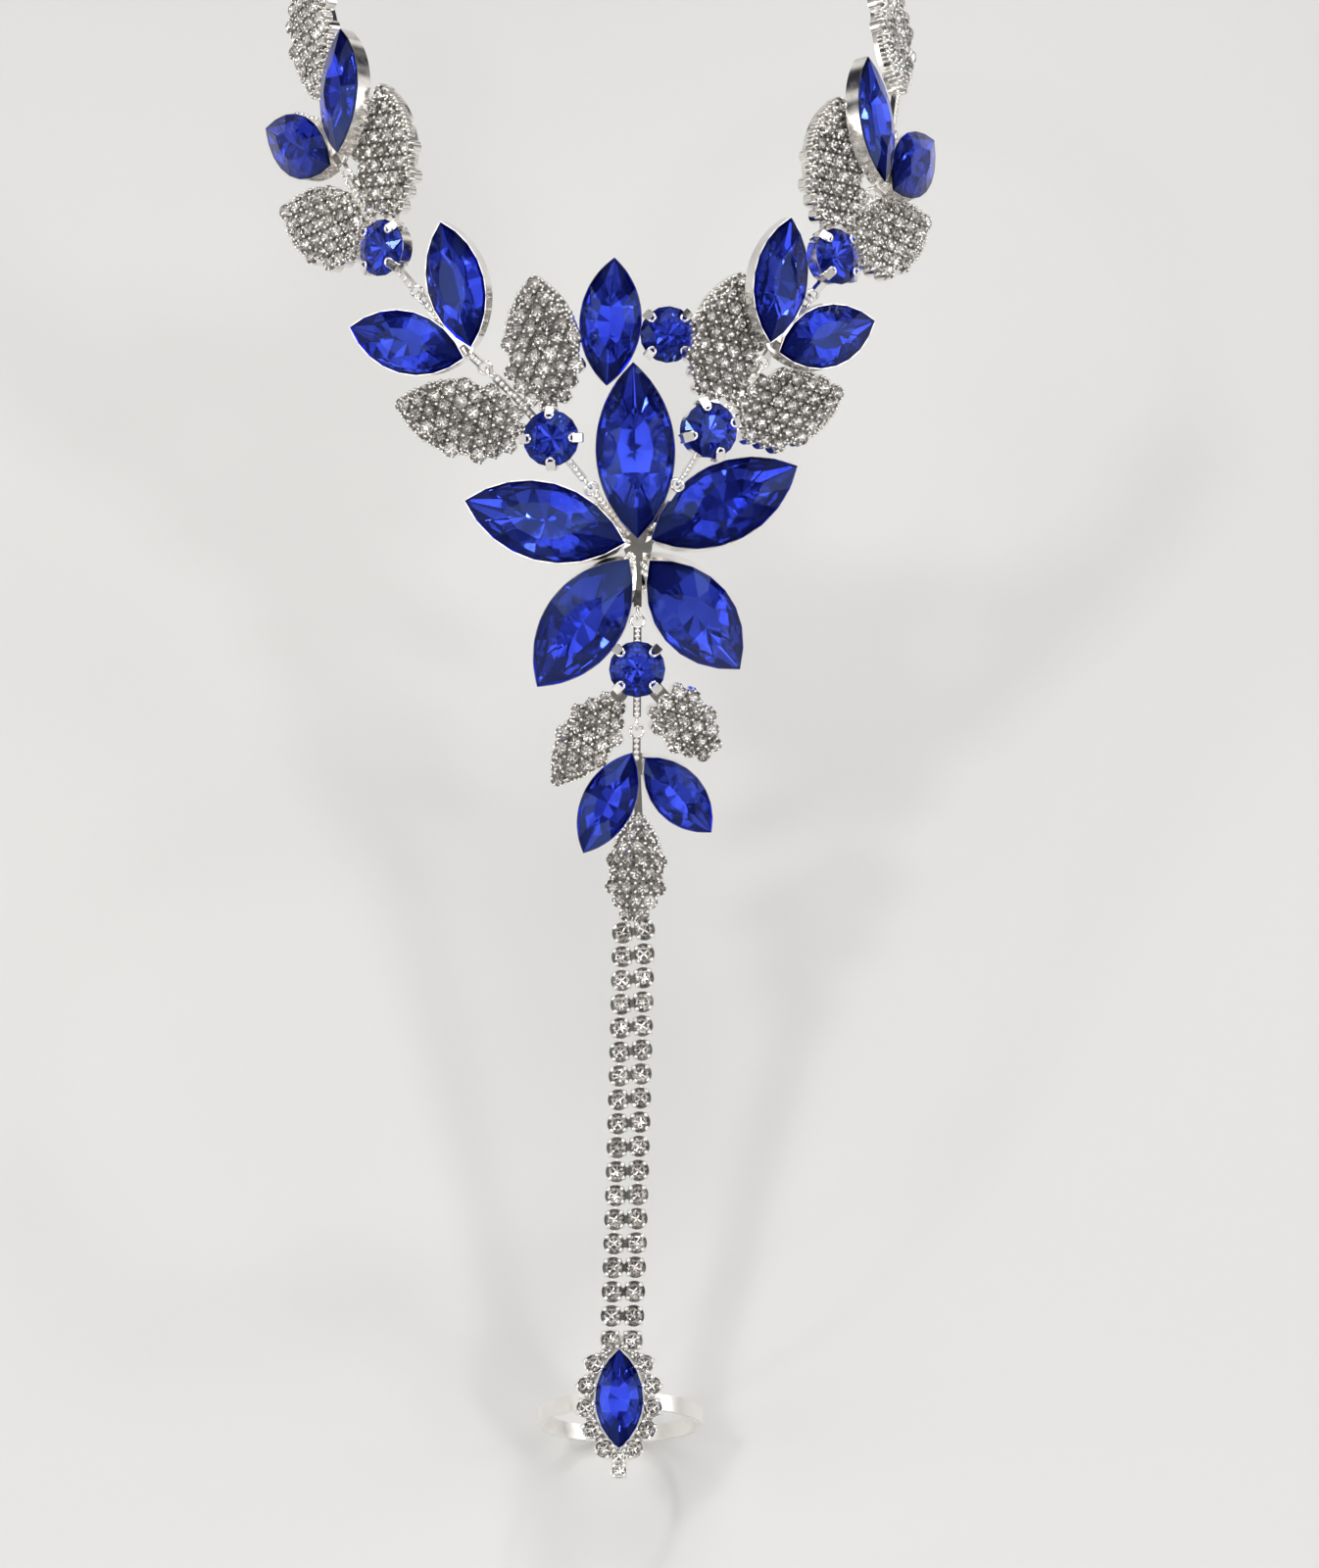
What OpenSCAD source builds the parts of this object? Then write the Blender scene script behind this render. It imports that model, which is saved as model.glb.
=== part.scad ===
// Barefoot sandal jewel: an anklet of silver-plated settings with blue cut stones, a stone flower on the
// instep, a drop of leaves and a two-row cup chain, and a toe ring. All sizes are millimetres.
// The origin is the middle of the ankle loop, level with its sides. +X is to the right of the wearer's
// instep as it is looked at from the toes, +Y runs from the toes to the heel, +Z is up.

/* [Ankle loop] */
// Half of the loop's width across the ankle
loop_half_w = 37; // [34:0.5:41]
// Reach of the loop from its middle to the instep
loop_front = 57; // [53:0.5:61]
// Reach of the loop from its middle to the back of the heel
loop_back = 38; // [35:0.5:42]
// Fall of the loop from its sides to the instep
loop_fall = 27; // [23:0.5:31]
// Lean of the front settings back onto the instep, in degrees up from level
front_lean = 52; // [46:1:58]
// Lean of the settings at the sides of the ankle, in degrees up from level
side_lean = 18; // [10:1:24]
// Turn of the loop on the ankle, in degrees
loop_turn = 4; // [2:0.5:6]

/* [Instep drop] */
// Length along the foot from the front of the loop to the middle of the toe plate
drop_len = 116; // [110:1:124]
// Slope of the foot under the flower, in degrees
flower_slope = 38; // [32:1:42]
// Slope of the foot at the toe ring, in degrees
toe_slope = 24; // [20:1:30]
// Place of the flower to the right of the loop's middle
flower_side = 6.3; // [4:0.5:8]
// Place of the toe ring to the right of the loop's middle
toe_side = 4; // [2:0.5:6]

/* [Blue stones] */
// Length of a flower petal stone
petal_len = 21.2; // [20:0.1:21.6]
// Width of a flower petal stone
petal_w = 9.2; // [8.4:0.1:9.4]
// Length of a marquise stone on the anklet
marquise_len = 15; // [14:0.1:15.5]
// Width of a marquise stone on the anklet
marquise_w = 7; // [6.2:0.1:7.2]
// Length of a marquise stone on the drop
drop_marquise_len = 13; // [12.4:0.1:13.4]
// Width of a marquise stone on the drop
drop_marquise_w = 5.8; // [5.2:0.1:6]
// Length of the toe plate's marquise stone
toe_marquise_len = 11.7; // [11.2:0.1:12]
// Width of the toe plate's marquise stone
toe_marquise_w = 5.5; // [5.2:0.1:5.7]
// Diameter of a round blue stone
round_d = 7.1; // [6.8:0.05:7.4]

/* [Settings] */
// Thickness of a setting's back plate
plate_t = 0.6; // [0.5:0.05:0.8]
// Wall of a stone's tray or cup
tray_wall = 0.3; // [0.25:0.05:0.4]
// Space between a stone and the metal round it
stone_gap = 0.12; // [0.1:0.01:0.2]
// Width of a claw over a round stone
claw_w = 1; // [0.8:0.05:1.2]
// Width of the flat bars between settings
bar_w = 1; // [0.8:0.05:1.2]
// Thickness of the flat bars between settings
bar_t = 0.7; // [0.5:0.05:0.9]
// Height of the bars and their linked eyes above the skin
bar_height = 0.9; // [0.85:0.05:1.1]
// Radius of a linked eye, to the middle of its wire
eye_r = 0.8; // [0.75:0.01:0.9]
// Thickness of a linked eye's wire
eye_wire = 0.45; // [0.4:0.01:0.5]

/* [Stone-set leaves] */
// Spacing of the small clear stones on the anklet's leaves
leaf_pitch = 2.05; // [1.95:0.01:2.1]
// Spacing of the small clear stones on the drop's leaves
drop_leaf_pitch = 1.95; // [1.85:0.01:2]
// Space between two neighbouring stone cups on a leaf
leaf_cup_gap = 0.1; // [0.06:0.01:0.16]
// Height of the stone cups above a leaf's plate
leaf_cup_h = 0.9; // [0.7:0.05:1.1]

/* [Two-row cup chain] */
// Rows between the drop's last leaf and the toe plate
chain_rows = 16; // [14:1:17]
// Spacing of the two stones in a row
chain_pair_pitch = 2.75; // [2.7:0.05:2.9]
// Diameter of a clear stone in the chain
chain_stone_d = 2.2; // [2.1:0.05:2.25]
// Height of a chain cup up to its stone
chain_cup_h = 1.5; // [1.4:0.05:1.7]
// Thickness of the wire between two rows
chain_wire = 0.3; // [0.25:0.01:0.32]
// Skew of the first row, in degrees, which dies out towards the toe
chain_skew = 8; // [0:1:10]

/* [Toe ring] */
// Bore of the toe ring's band
toe_bore_d = 19.4; // [17:0.1:20]
// Thickness of the toe ring's band
band_t = 0.7; // [0.5:0.05:0.9]
// Width of the toe ring's band
band_w = 2; // [1.6:0.1:2.4]
// Lean of the band's lower side towards the toe's tip, in degrees
band_lean = 9; // [6:1:12]
// Diameter of a clear stone round the toe plate
halo_stone_d = 2.1; // [2:0.05:2.2]
// Diameter of the two clear stones at the plate's toe end
halo_tip_d = 1.7; // [1.6:0.05:1.75]

/* [Back chain] */
// Wire of a back chain ring
link_wire = 0.7; // [0.6:0.05:0.8]
// Target spacing of the back chain rings
link_pitch = 3.7; // [3.5:0.1:4.4]
// Diameter of a last leaf's eye, to the middle of its wire
end_eye_d = 2.7; // [2.5:0.1:3]
// Diameter of the clasp ring, to the middle of its wire
clasp_d = 6.4; // [6:0.2:8]
// Wire of the clasp ring
clasp_wire = 1.2; // [1:0.1:1.4]

/* [Hidden] */
$fn = 48;

LEFT = -1;
RIGHT = 1;
// Places on the loop: [angle round the ankle from the instep, lift above the line, turn, side, swing of
// the face round the leg, closing of the fork, droop of the upper and of the lower member, turn of the
// claws, shift out from the skin]
SPRAY_L1 = [-12.7, 0.2, -15.5, LEFT, 1, 0, 0, 0, 17, 0];
PAIR_L1 = [-30, 2, -9, LEFT, 3, 0, -4, -2, 0, 0];
SPRAY_L2 = [-49, 2, 11, LEFT, 0, 0, -3, 6, -34, 0];
PAIR_L2 = [-62, 3.2, 4.5, LEFT, 1.5, 0, 3.5, 2, 0, 1.2];
LEAF_L = [-75, 0.3, -24, LEFT, 5.5, 0, 0, 0, 0, -1.9];
SPRAY_R1 = [16, -1.6, -4.5, RIGHT, 9.5, 5, -2, 9, 37, 0];
PAIR_R1 = [31, -0.4, 0, RIGHT, 3, 0, -5, 3.5, 0, -0.7];
SPRAY_R2 = [46, -0.4, -17, RIGHT, 1, 2.5, -4, 6.5, -28, 0.3];
PAIR_R2 = [58.5, -2.8, -2, RIGHT, 5, 0, -4, 4, 0, 1.4];
LEAF_R = [75.5, -5.5, 11, RIGHT, 4, 0, 0, 0, 0, -0.7];
TOP_BAR = [-0.6, 19, -6, RIGHT, 0, 0, 0, 0, 6, 0.5];
// The top round stone, right of and below the middle of the top marquise
TOP_ROUND_AT = [7.3, -1.15];

// Petals of the flower: [turn, start from the middle, droop of the tip], angles in degrees
PETALS = [[91.5, 0.75, 4], [27, 1, 20], [-50, 0.9, 36], [-126, 0.9, 26], [165, 0.9, 18]];

// Turns of a spray's two leaves and of a pair's two stones, in degrees from the line of the loop
SPRAY_TURNS = [57, -14];
PAIR_TURNS = [41, -21];
// Half of the space between the tips of a pair's two stones
PAIR_SPREAD = 0.85;
// Turns of the drop's leaves and stones, in degrees
DROP_LEAF_TURNS = [-126, -48];
DROP_PAIR_TURNS = [-116, -48];
// Droops of the same leaves and stones down the sides of the foot, in degrees
DROP_LEAF_DROOPS = [8, 22];
DROP_PAIR_DROOPS = [0, 26];
// The last leaf of the drop: its turn and its shift to the right
DROP_END_TURN = -92.5;
DROP_END_SHIFT = 0.4;

// Distances along the drop, from the front of the loop
FLOWER_AT = 9;
DROP_ROUND_AT = 24.5;
DROP_PAIR_AT = 35;
DROP_LEAF_AT = 42.6;

// Small stones in each row of a leaf, from its round stone to its tip
ANKLE_LEAF_ROWS = [3, 4, 5, 4, 5, 4, 3, 2, 1];
END_LEAF_ROWS = [1, 2, 3, 4, 5, 4, 5, 4, 3];
DROP_LEFT_ROWS = [2, 3, 4, 3, 4, 3, 2, 1];
DROP_RIGHT_ROWS = [3, 4, 3, 4, 3, 2];
DROP_END_ROWS = [1, 2, 3, 4, 3, 4, 3, 2];

// Heights of a cut stone, as shares of its width: [below the girdle, girdle, crown]
MARQUISE_CUT = [0.13, 0.03, 0.17];
ROUND_CUT = [0.18, 0.03, 0.15];
SMALL_CUT = [0.17, 0.06, 0.2];
// Size of a stone's table, as a share of the stone
TABLE = 0.56;
// Rings of the cut: points round a marquise or large round stone, and round a small stone
CUT_SIDES = 16;
SMALL_SIDES = 8;

// Space under a stone, up from the floor of its tray
FLOOR_GAP = 0.15;
// Radius of a large round cup, under its stone
cup_r = round_d/2 - 0.25;
// Where a leaf starts from the middle of its round stone
leaf_start = round_d/2 + 2*stone_gap + 0.35;
// Height of a chain cup's floor
CHAIN_FLOOR = 0.3;
chain_cup_r = chain_stone_d/2 + stone_gap + 0.12;
chain_bore_r = chain_stone_d/2 - 0.12;
// Space between a wire and its hole, and the balls on its ends, which the holes hold
WIRE_GAP = 0.1;
chain_ball_r = chain_wire/2 + WIRE_GAP + 0.1;
// Height of the chain's wires
chain_wire_z = CHAIN_FLOOR + chain_ball_r + 0.1;

// A vector of length one
function unit(v) = v/norm(v);
// A vector turned in its own plane
function turned(v, a) = [v.x*cos(a) - v.y*sin(a), v.x*sin(a) + v.y*cos(a), v.z];
// The point that lies a distance from one point towards another
function towards(p, q, d) = p + unit(q - p)*d;

// The line of the loop: a point of it, its outward face and its lean at an angle from the instep
function reach(t) = cos(t) > 0 ? loop_front : loop_back;
function loop_at(t) = turned([loop_half_w*sin(t), -reach(t)*cos(t),
    -loop_fall*(1 - sin(min(abs(t), 90)))], loop_turn);
function loop_face(t) = loop_turn + atan2(sin(t)/loop_half_w, cos(t)/reach(t));
function loop_lean(t) = side_lean + (front_lean - side_lean)*max(0, cos(t));

// The line of the drop: an arc down the foot, which eases from the flower's slope to the toe's
arc_r = drop_len/((flower_slope - toe_slope)*PI/180);
function slope_at(s) = flower_slope - (flower_slope - toe_slope)*s/drop_len;
function drop_at(s) = loop_at(0)
    + [0, -(sin(flower_slope) - sin(slope_at(s)))*arc_r, -(cos(slope_at(s)) - cos(flower_slope))*arc_r]
    + [flower_side + (toe_side - flower_side)*pow(s/drop_len, 2) - loop_at(0).x, 0, 0];

// A seat is a point, its face and its lean. Local X lies across, Y up the leg and Z out from the skin.
function loop_seat(t) = [loop_at(t), loop_face(t), loop_lean(t)];
function drop_seat(s) = [drop_at(s), 0, 90 - slope_at(s)];
function seat_x(st) = [cos(st[1]), sin(st[1]), 0];
function seat_n(st) = [sin(st[1])*cos(st[2]), -cos(st[1])*cos(st[2]), sin(st[2])];
function seat_y(st) = cross(seat_n(st), seat_x(st));
function seat_point(st, v) = st[0] + seat_x(st)*v.x + seat_y(st)*v.y + seat_n(st)*v.z;
module seat(st) { translate(st[0]) rotate([90 - st[2], 0, st[1]]) children(); }

// The seat of a place on the loop, lifted up the leg, shifted out and swung round the leg
function place_seat(pl) = let (st = loop_seat(pl[0]))
    [st[0] + seat_y(st)*pl[1] + seat_n(st)*pl[9], st[1] + pl[4], st[2]];
module placed(pl) {
    seat(place_seat(pl)) rotate([0, 0, pl[2]]) mirror([pl[3] == LEFT ? 1 : 0, 0, 0]) children();
}
function placed_point(pl, v) = seat_point(place_seat(pl), turned([pl[3]*v.x, v.y, v.z], pl[2]));
function placed_face(pl) = seat_n(place_seat(pl));

// Children stand along the line from p to q, with local X as near to n as it can be
function aim_roll(d, n) = let (az = atan2(d.y, d.x), pol = acos(d.z/norm(d)))
    atan2(n*[-sin(az), cos(az), 0], n*[cos(az)*cos(pol), sin(az)*cos(pol), -sin(pol)]);
module aim(p, q, n) {
    d = q - p;
    translate(p) rotate([0, acos(d.z/norm(d)), atan2(d.y, d.x)]) rotate([0, 0, aim_roll(d, n)]) children();
}

// A flat bar from p to q, its face towards n
module bar(p, q, n) { aim(p, q, n) translate([-bar_t/2, -bar_w/2, 0]) cube([bar_t, bar_w, norm(q - p)]); }

// A ring of wire in its own XY plane
module wire_ring(r, wire) { rotate_extrude() translate([r, 0]) circle(d = wire, $fn = 24); }

// Two eyes linked halfway between p and q: the first stands on edge, the second lies flat
eye_step = 2*eye_r - eye_wire - stone_gap;
function eye_mid(p, q) = norm(q - p)/2;
module first_eye(p, q, n) {
    z = eye_mid(p, q) - eye_step/2;
    aim(p, q, n) {
        translate([0, 0, z]) rotate([90, 0, 0]) wire_ring(eye_r, eye_wire);
        translate([-bar_t/2, -bar_w/2, 0]) cube([bar_t, bar_w, z - eye_r]);
    }
}
module second_eye(p, q, n) {
    z = eye_mid(p, q) + eye_step/2;
    aim(p, q, n) {
        translate([0, 0, z]) rotate([0, 90, 0]) wire_ring(eye_r, eye_wire);
        translate([-bar_t/2, -bar_w/2, z + eye_r]) cube([bar_t, bar_w, norm(q - p) - z - eye_r]);
    }
}

// A marquise outline along X: two arcs through both tips, grown all round by g
function bow(l, w) = (l*l + w*w)/(4*w);
function marquise_tip(l, w, g) = sqrt(pow(bow(l, w) + g, 2) - pow(bow(l, w) - w/2, 2));
module marquise(l, w, g = 0) {
    intersection_for (s = [-1, 1]) translate([0, s*(bow(l, w) - w/2)]) circle(r = bow(l, w) + g, $fn = 96);
}
// Points of a marquise outline, n in all, at scale k and height z
function marquise_ring(l, w, n, k, z) = let (half = asin(l/2/bow(l, w))) [for (i = [0:n - 1])
    let (upper = i < n/2, a = half - 2*half*(upper ? i : i - n/2)/(n/2), x = bow(l, w)*sin(a),
        y = bow(l, w)*cos(a) - (bow(l, w) - w/2)) upper ? [x*k, y*k, z] : [-x*k, -y*k, z]];
function round_ring(d, n, k, z) = [for (i = [0:n - 1]) [k*d/2*cos(360*i/n), k*d/2*sin(360*i/n), z]];

// A cut stone from its rings: a point below, the girdle twice, one ring of breaks and the table
module cut_stone(rings, low) {
    n = len(rings[0]);
    points = concat([[0, 0, low]], [for (r = rings) each r]);
    last = len(rings) - 1;
    polyhedron(points, concat(
        [for (i = [0:n - 1]) [0, 1 + i, 1 + (i + 1)%n]],
        [for (r = [0:last - 1], i = [0:n - 1]) let (a = 1 + r*n + i, b = 1 + r*n + (i + 1)%n)
            [a, a + n, b + n, b]],
        [[for (i = [0:n - 1]) 1 + last*n + n - 1 - i]]));
}
// Heights of a cut stone over its tray's floor: [lowest point, girdle, top of girdle, table]
function cut_heights(w, cut) = let (z0 = plate_t + FLOOR_GAP) [z0, z0 + w*cut[0], z0 + w*(cut[0] + cut[1]),
    z0 + w*(cut[0] + cut[1] + cut[2])];
// Size of the ring of breaks between the girdle and the table, as a share of the stone
BREAK = 0.82;
module marquise_stone(l, w) {
    h = cut_heights(w, MARQUISE_CUT);
    color("royalblue") cut_stone([marquise_ring(l, w, CUT_SIDES, 1, h[1]),
        marquise_ring(l, w, CUT_SIDES, 1, h[2]),
        marquise_ring(l, w, CUT_SIDES, BREAK, h[2] + (h[3] - h[2])*0.6),
        marquise_ring(l, w, CUT_SIDES, TABLE, h[3])], h[0]);
}
module round_stone() {
    h = cut_heights(round_d, ROUND_CUT);
    color("royalblue") cut_stone([round_ring(round_d, CUT_SIDES, 1, h[1]),
        round_ring(round_d, CUT_SIDES, 1, h[2]),
        round_ring(round_d, CUT_SIDES, BREAK, h[2] + (h[3] - h[2])*0.6),
        round_ring(round_d, CUT_SIDES, TABLE, h[3])], h[0]);
}
module small_stone(d, girdle_z) {
    table_z = girdle_z + d*(SMALL_CUT[1] + SMALL_CUT[2]);
    color("white") cut_stone([round_ring(d, SMALL_SIDES, 1, girdle_z),
        round_ring(d, SMALL_SIDES, 1, girdle_z + d*SMALL_CUT[1]),
        round_ring(d, SMALL_SIDES, TABLE, table_z)], girdle_z - d*SMALL_CUT[0]);
}

// A marquise tray: a floor and a wall up to the top of the stone's girdle
function tray_h(w) = cut_heights(w, MARQUISE_CUT)[2] + 0.1;
function tray_tip(l, w) = marquise_tip(l, w, stone_gap + tray_wall);
module marquise_tray(l, w) {
    difference() {
        linear_extrude(tray_h(w)) marquise(l, w, stone_gap + tray_wall);
        translate([0, 0, plate_t]) linear_extrude(tray_h(w)) marquise(l, w, stone_gap);
    }
}

// A cup for a round stone: a floor, a wall under the girdle and four claws bent over the crown
module round_cup(claw_turn = 0) {
    h = cut_heights(round_d, ROUND_CUT);
    out = round_d/2 + stone_gap;
    rise = (h[3] - h[2])*0.62;
    reach_in = round_d/2*0.2;
    difference() {
        cylinder(r = cup_r, h = h[1] - 0.35);
        translate([0, 0, plate_t]) cylinder(r = cup_r - tray_wall, h = h[3]);
    }
    side = [[cup_r - 0.3, plate_t], [out + 0.35, h[1] - 0.6], [out + 0.35, h[2] + 0.35],
        [out - reach_in, h[2] + rise + 0.45], [out - reach_in, h[2] + rise + 0.1],
        [out, h[2] + 0.1], [out, h[1] - 0.5], [cup_r - 0.3, plate_t + 0.5]];
    for (a = [45:90:315]) rotate([0, 0, a + claw_turn]) rotate([90, 0, 0])
        linear_extrude(claw_w, center = true) polygon(side);
}

// A leaf of small cups along +X: its plate follows two arcs, and its rows are packed like a honeycomb
function leaf_step(pitch) = pitch*sqrt(3)/2;
function leaf_len(rows, pitch) = leaf_step(pitch)*(len(rows) - 1) + pitch;
module leaf(rows, pitch) {
    cup = pitch - leaf_cup_gap;
    wide = max(rows)*pitch;
    long = leaf_len(rows, pitch);
    translate([long/2, 0, 0]) linear_extrude(plate_t) marquise(long, wide - pitch*0.5, 0);
    for (i = [0:len(rows) - 1]) {
        y0 = -(rows[i] - 1)*pitch/2;
        translate([pitch/2 + i*leaf_step(pitch), y0, 0]) {
            translate([0, -cup*0.2, 0]) cube([cup*0.4, cup*0.4 + (rows[i] - 1)*pitch, plate_t]);
            for (j = [0:rows[i] - 1]) translate([0, j*pitch, 0])
                cylinder(d = cup, h = plate_t + leaf_cup_h, $fn = 24);
        }
    }
}

// A leaf soldered to its round cup, at a turn, and bent down along the skin
module cup_leaf(rows, pitch, a, droop = 0) {
    rotate([0, 0, a]) {
        translate([leaf_start, 0, 0]) rotate([0, droop, 0]) leaf(rows, pitch);
        translate([cup_r - 0.3, -bar_w, 0]) cube([pitch, 2*bar_w, plate_t]);
    }
}

// Turns of a fork's two members, closed by the place's own angle
function fork(turns, pl) = [turns[0] - pl[5], turns[1] + pl[5]];
// A spray: a round cup with two leaves
module spray(pl) {
    round_cup(pl[8]);
    turns = fork(SPRAY_TURNS, pl);
    for (k = [0, 1]) cup_leaf(ANKLE_LEAF_ROWS, leaf_pitch, turns[k], pl[6 + k]);
    rotate([0, 0, spray_mid]) translate([cup_r - 0.3, -bar_w/2, bar_height - bar_t/2])
        cube([notch_at - cup_r + 0.3, bar_w, bar_t]);
}
// Distance from a spray's round stone to the end of the bar in its notch
notch_at = 7.5;
// Middle line of a spray, from its round stone to the notch between its leaves
spray_mid = (SPRAY_TURNS[0] + SPRAY_TURNS[1])/2;
function spray_notch(pl) = placed_point(pl, [notch_at*cos(spray_mid), notch_at*sin(spray_mid), bar_height]);
function spray_centre(pl) = placed_point(pl, [0, 0, bar_height]);
// The point of a round cup's floor rim that is nearest to q
function rim_point(st, q) = let (x = (q - st[0])*seat_x(st), y = (q - st[0])*seat_y(st),
    k = (cup_r - 0.2)/norm([x, y])) seat_point(st, [x*k, y*k, plate_t/2]);
function spray_wall(pl, q) = rim_point(place_seat(pl), q);

// A pair: two marquise trays that open from one point, soldered to a web and a bar down the middle
pair_mid = (PAIR_TURNS[0] + PAIR_TURNS[1])/2;
module pair_seat(pl, k) {
    translate([0, k == 0 ? PAIR_SPREAD : -PAIR_SPREAD, 0]) rotate([0, 0, PAIR_TURNS[k]])
        rotate([0, pl[6 + k], 0]) translate([tray_tip(marquise_len, marquise_w), 0, 0]) children();
}
module pair(pl) {
    for (k = [0, 1]) pair_seat(pl, k) marquise_tray(marquise_len, marquise_w);
    translate([1.6, 0, 0]) cylinder(r = 1.6, h = plate_t);
}
function pair_tip(pl) = placed_point(pl, [1.4, 0, bar_height]);
function pair_notch(pl) = placed_point(pl, [6*cos(pair_mid), 6*sin(pair_mid), bar_height]);

// The flower's seat, and the height and length of the arms that run from its hub under the petals
flower = drop_seat(FLOWER_AT);
ARM_Z = -0.4;
ARM_LEN = 5.5;
flower_heart = seat_point(flower, [0, 0, ARM_Z]);
// The end of the arm that runs towards q
function flower_rim(q) = towards(flower_heart,
    q - seat_n(flower)*((q - flower_heart)*seat_n(flower)), ARM_LEN);
// The hub under the inner tips of the petals: radius, thickness and height of its top
hub_r = 1.8;
hub_t = 1.2;
hub_top = 0.4;
module petal_seat(k) {
    seat(flower) rotate([0, 0, PETALS[k][0]]) translate([PETALS[k][1], 0, 0.3]) rotate([0, PETALS[k][2], 0])
        translate([tray_tip(petal_len, petal_w), 0, 0]) children();
}
module petal(k) { petal_seat(k) marquise_stone(petal_len, petal_w); }

// The drop's middle points at bar height
drop_round = drop_seat(DROP_ROUND_AT);
drop_pair = drop_seat(DROP_PAIR_AT);
drop_end = drop_seat(DROP_LEAF_AT);
function at_bar(st, x, y) = seat_point(st, [x, y, bar_height]);
drop_leaf_rows_len = leaf_len(DROP_END_ROWS, drop_leaf_pitch);
module drop_pair_seat(k) {
    tip = tray_tip(drop_marquise_len, drop_marquise_w);
    seat(drop_pair) translate([k == 0 ? -0.5 : 0.5, 0, 0]) rotate([0, 0, DROP_PAIR_TURNS[k]])
        rotate([0, DROP_PAIR_DROOPS[k], 0]) translate([tip, 0, 0]) children();
}

// Linked places: [from, to, face] for each pair of eyes
function flower_link(pl) = let (q = flower_rim(spray_centre(pl))) [spray_wall(pl, q), q, seat_n(flower)];
LINK_FLOWER_L = flower_link(SPRAY_L1);
LINK_FLOWER_R = flower_link(SPRAY_R1);
LINK_L1 = [spray_notch(SPRAY_L1), pair_tip(PAIR_L1), placed_face(PAIR_L1)];
LINK_R1 = [spray_notch(SPRAY_R1), pair_tip(PAIR_R1), placed_face(PAIR_R1)];
LINK_L2 = [pair_notch(PAIR_L1), spray_wall(SPRAY_L2, pair_notch(PAIR_L1)), placed_face(SPRAY_L2)];
LINK_R2 = [pair_notch(PAIR_R1), spray_wall(SPRAY_R2, pair_notch(PAIR_R1)), placed_face(SPRAY_R2)];
LINK_L3 = [spray_notch(SPRAY_L2), pair_tip(PAIR_L2), placed_face(PAIR_L2)];
LINK_R3 = [spray_notch(SPRAY_R2), pair_tip(PAIR_R2), placed_face(PAIR_R2)];
function end_link(pair_pl, leaf_pl) = [placed_point(pair_pl, [2, 0, bar_height]),
    placed_point(leaf_pl, [1, 0, bar_height]), placed_face(leaf_pl)];
LINK_L4 = end_link(PAIR_L2, LEAF_L);
LINK_R4 = end_link(PAIR_R2, LEAF_R);
drop_arm_end = flower_rim(at_bar(drop_round, 0, 0));
LINK_D1 = [drop_arm_end, rim_point(drop_round, drop_arm_end), seat_n(drop_round)];
LINK_D2 = [at_bar(drop_round, 0, 0.2 - cup_r), at_bar(drop_pair, 0, -1), seat_n(drop_pair)];
module first_of(link) { first_eye(link[0], link[1], link[2]); }
module second_of(link) { second_eye(link[0], link[1], link[2]); }

// The middle of a spray's upper leaf, where the bar over the top ends, and the bar's own height
LEAF_MID = 10.8;
TOP_BAR_Z = 0.1;
function inner_leaf_mid(pl) = placed_point(pl,
    [LEAF_MID*cos(SPRAY_TURNS[0]), LEAF_MID*sin(SPRAY_TURNS[0]), bar_t/2]);
module top_bar_seat() { placed(TOP_BAR) rotate([0, 0, 90]) children(); }

// The front of the anklet: two sprays joined over the top by a marquise tray and a round cup
module front_setting() {
    color("silver") union() {
        placed(SPRAY_L1) spray(SPRAY_L1);
        placed(SPRAY_R1) spray(SPRAY_R1);
        top_bar_seat() marquise_tray(marquise_len, marquise_w);
        placed(TOP_BAR) translate(TOP_ROUND_AT) round_cup(TOP_BAR[8]);
        n = placed_face(TOP_BAR);
        top = placed_point(TOP_BAR, [0, 0, TOP_BAR_Z]);
        top_cup = placed_point(TOP_BAR, [TOP_ROUND_AT.x, TOP_ROUND_AT.y, TOP_BAR_Z]);
        top_edge = marquise_w/2 + stone_gap + tray_wall + 0.35;
        bar(inner_leaf_mid(SPRAY_L1), towards(top, inner_leaf_mid(SPRAY_L1), top_edge), n);
        bar(towards(top, top_cup, top_edge), towards(top_cup, top, cup_r - 0.2), n);
        bar(towards(top_cup, inner_leaf_mid(SPRAY_R1), cup_r - 0.2), inner_leaf_mid(SPRAY_R1), n);
        for (link = [LINK_FLOWER_L, LINK_FLOWER_R, LINK_L1, LINK_R1]) first_of(link);
    }
}

// The flower: five trays on a hub, with an arm to each side of the anklet and one to the drop
module flower_setting() {
    color("silver") union() {
        for (k = [0:4]) petal_seat(k) marquise_tray(petal_len, petal_w);
        seat(flower) translate([0, 0, hub_top - hub_t]) cylinder(r = hub_r, h = hub_t);
        for (q = [LINK_FLOWER_L[1], LINK_FLOWER_R[1], LINK_D1[0]]) bar(flower_heart, q, seat_n(flower));
        second_of(LINK_FLOWER_L);
        second_of(LINK_FLOWER_R);
        first_of(LINK_D1);
    }
}

module pair_setting(pl, link_in, link_out) {
    color("silver") union() {
        placed(pl) pair(pl);
        bar(pair_tip(pl), pair_notch(pl), placed_face(pl));
        second_of(link_in);
        first_of(link_out);
    }
}
module left_pair_setting_1() { pair_setting(PAIR_L1, LINK_L1, LINK_L2); }
module right_pair_setting_1() { pair_setting(PAIR_R1, LINK_R1, LINK_R2); }
module left_pair_setting_2() { pair_setting(PAIR_L2, LINK_L3, LINK_L4); }
module right_pair_setting_2() { pair_setting(PAIR_R2, LINK_R3, LINK_R4); }

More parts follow.
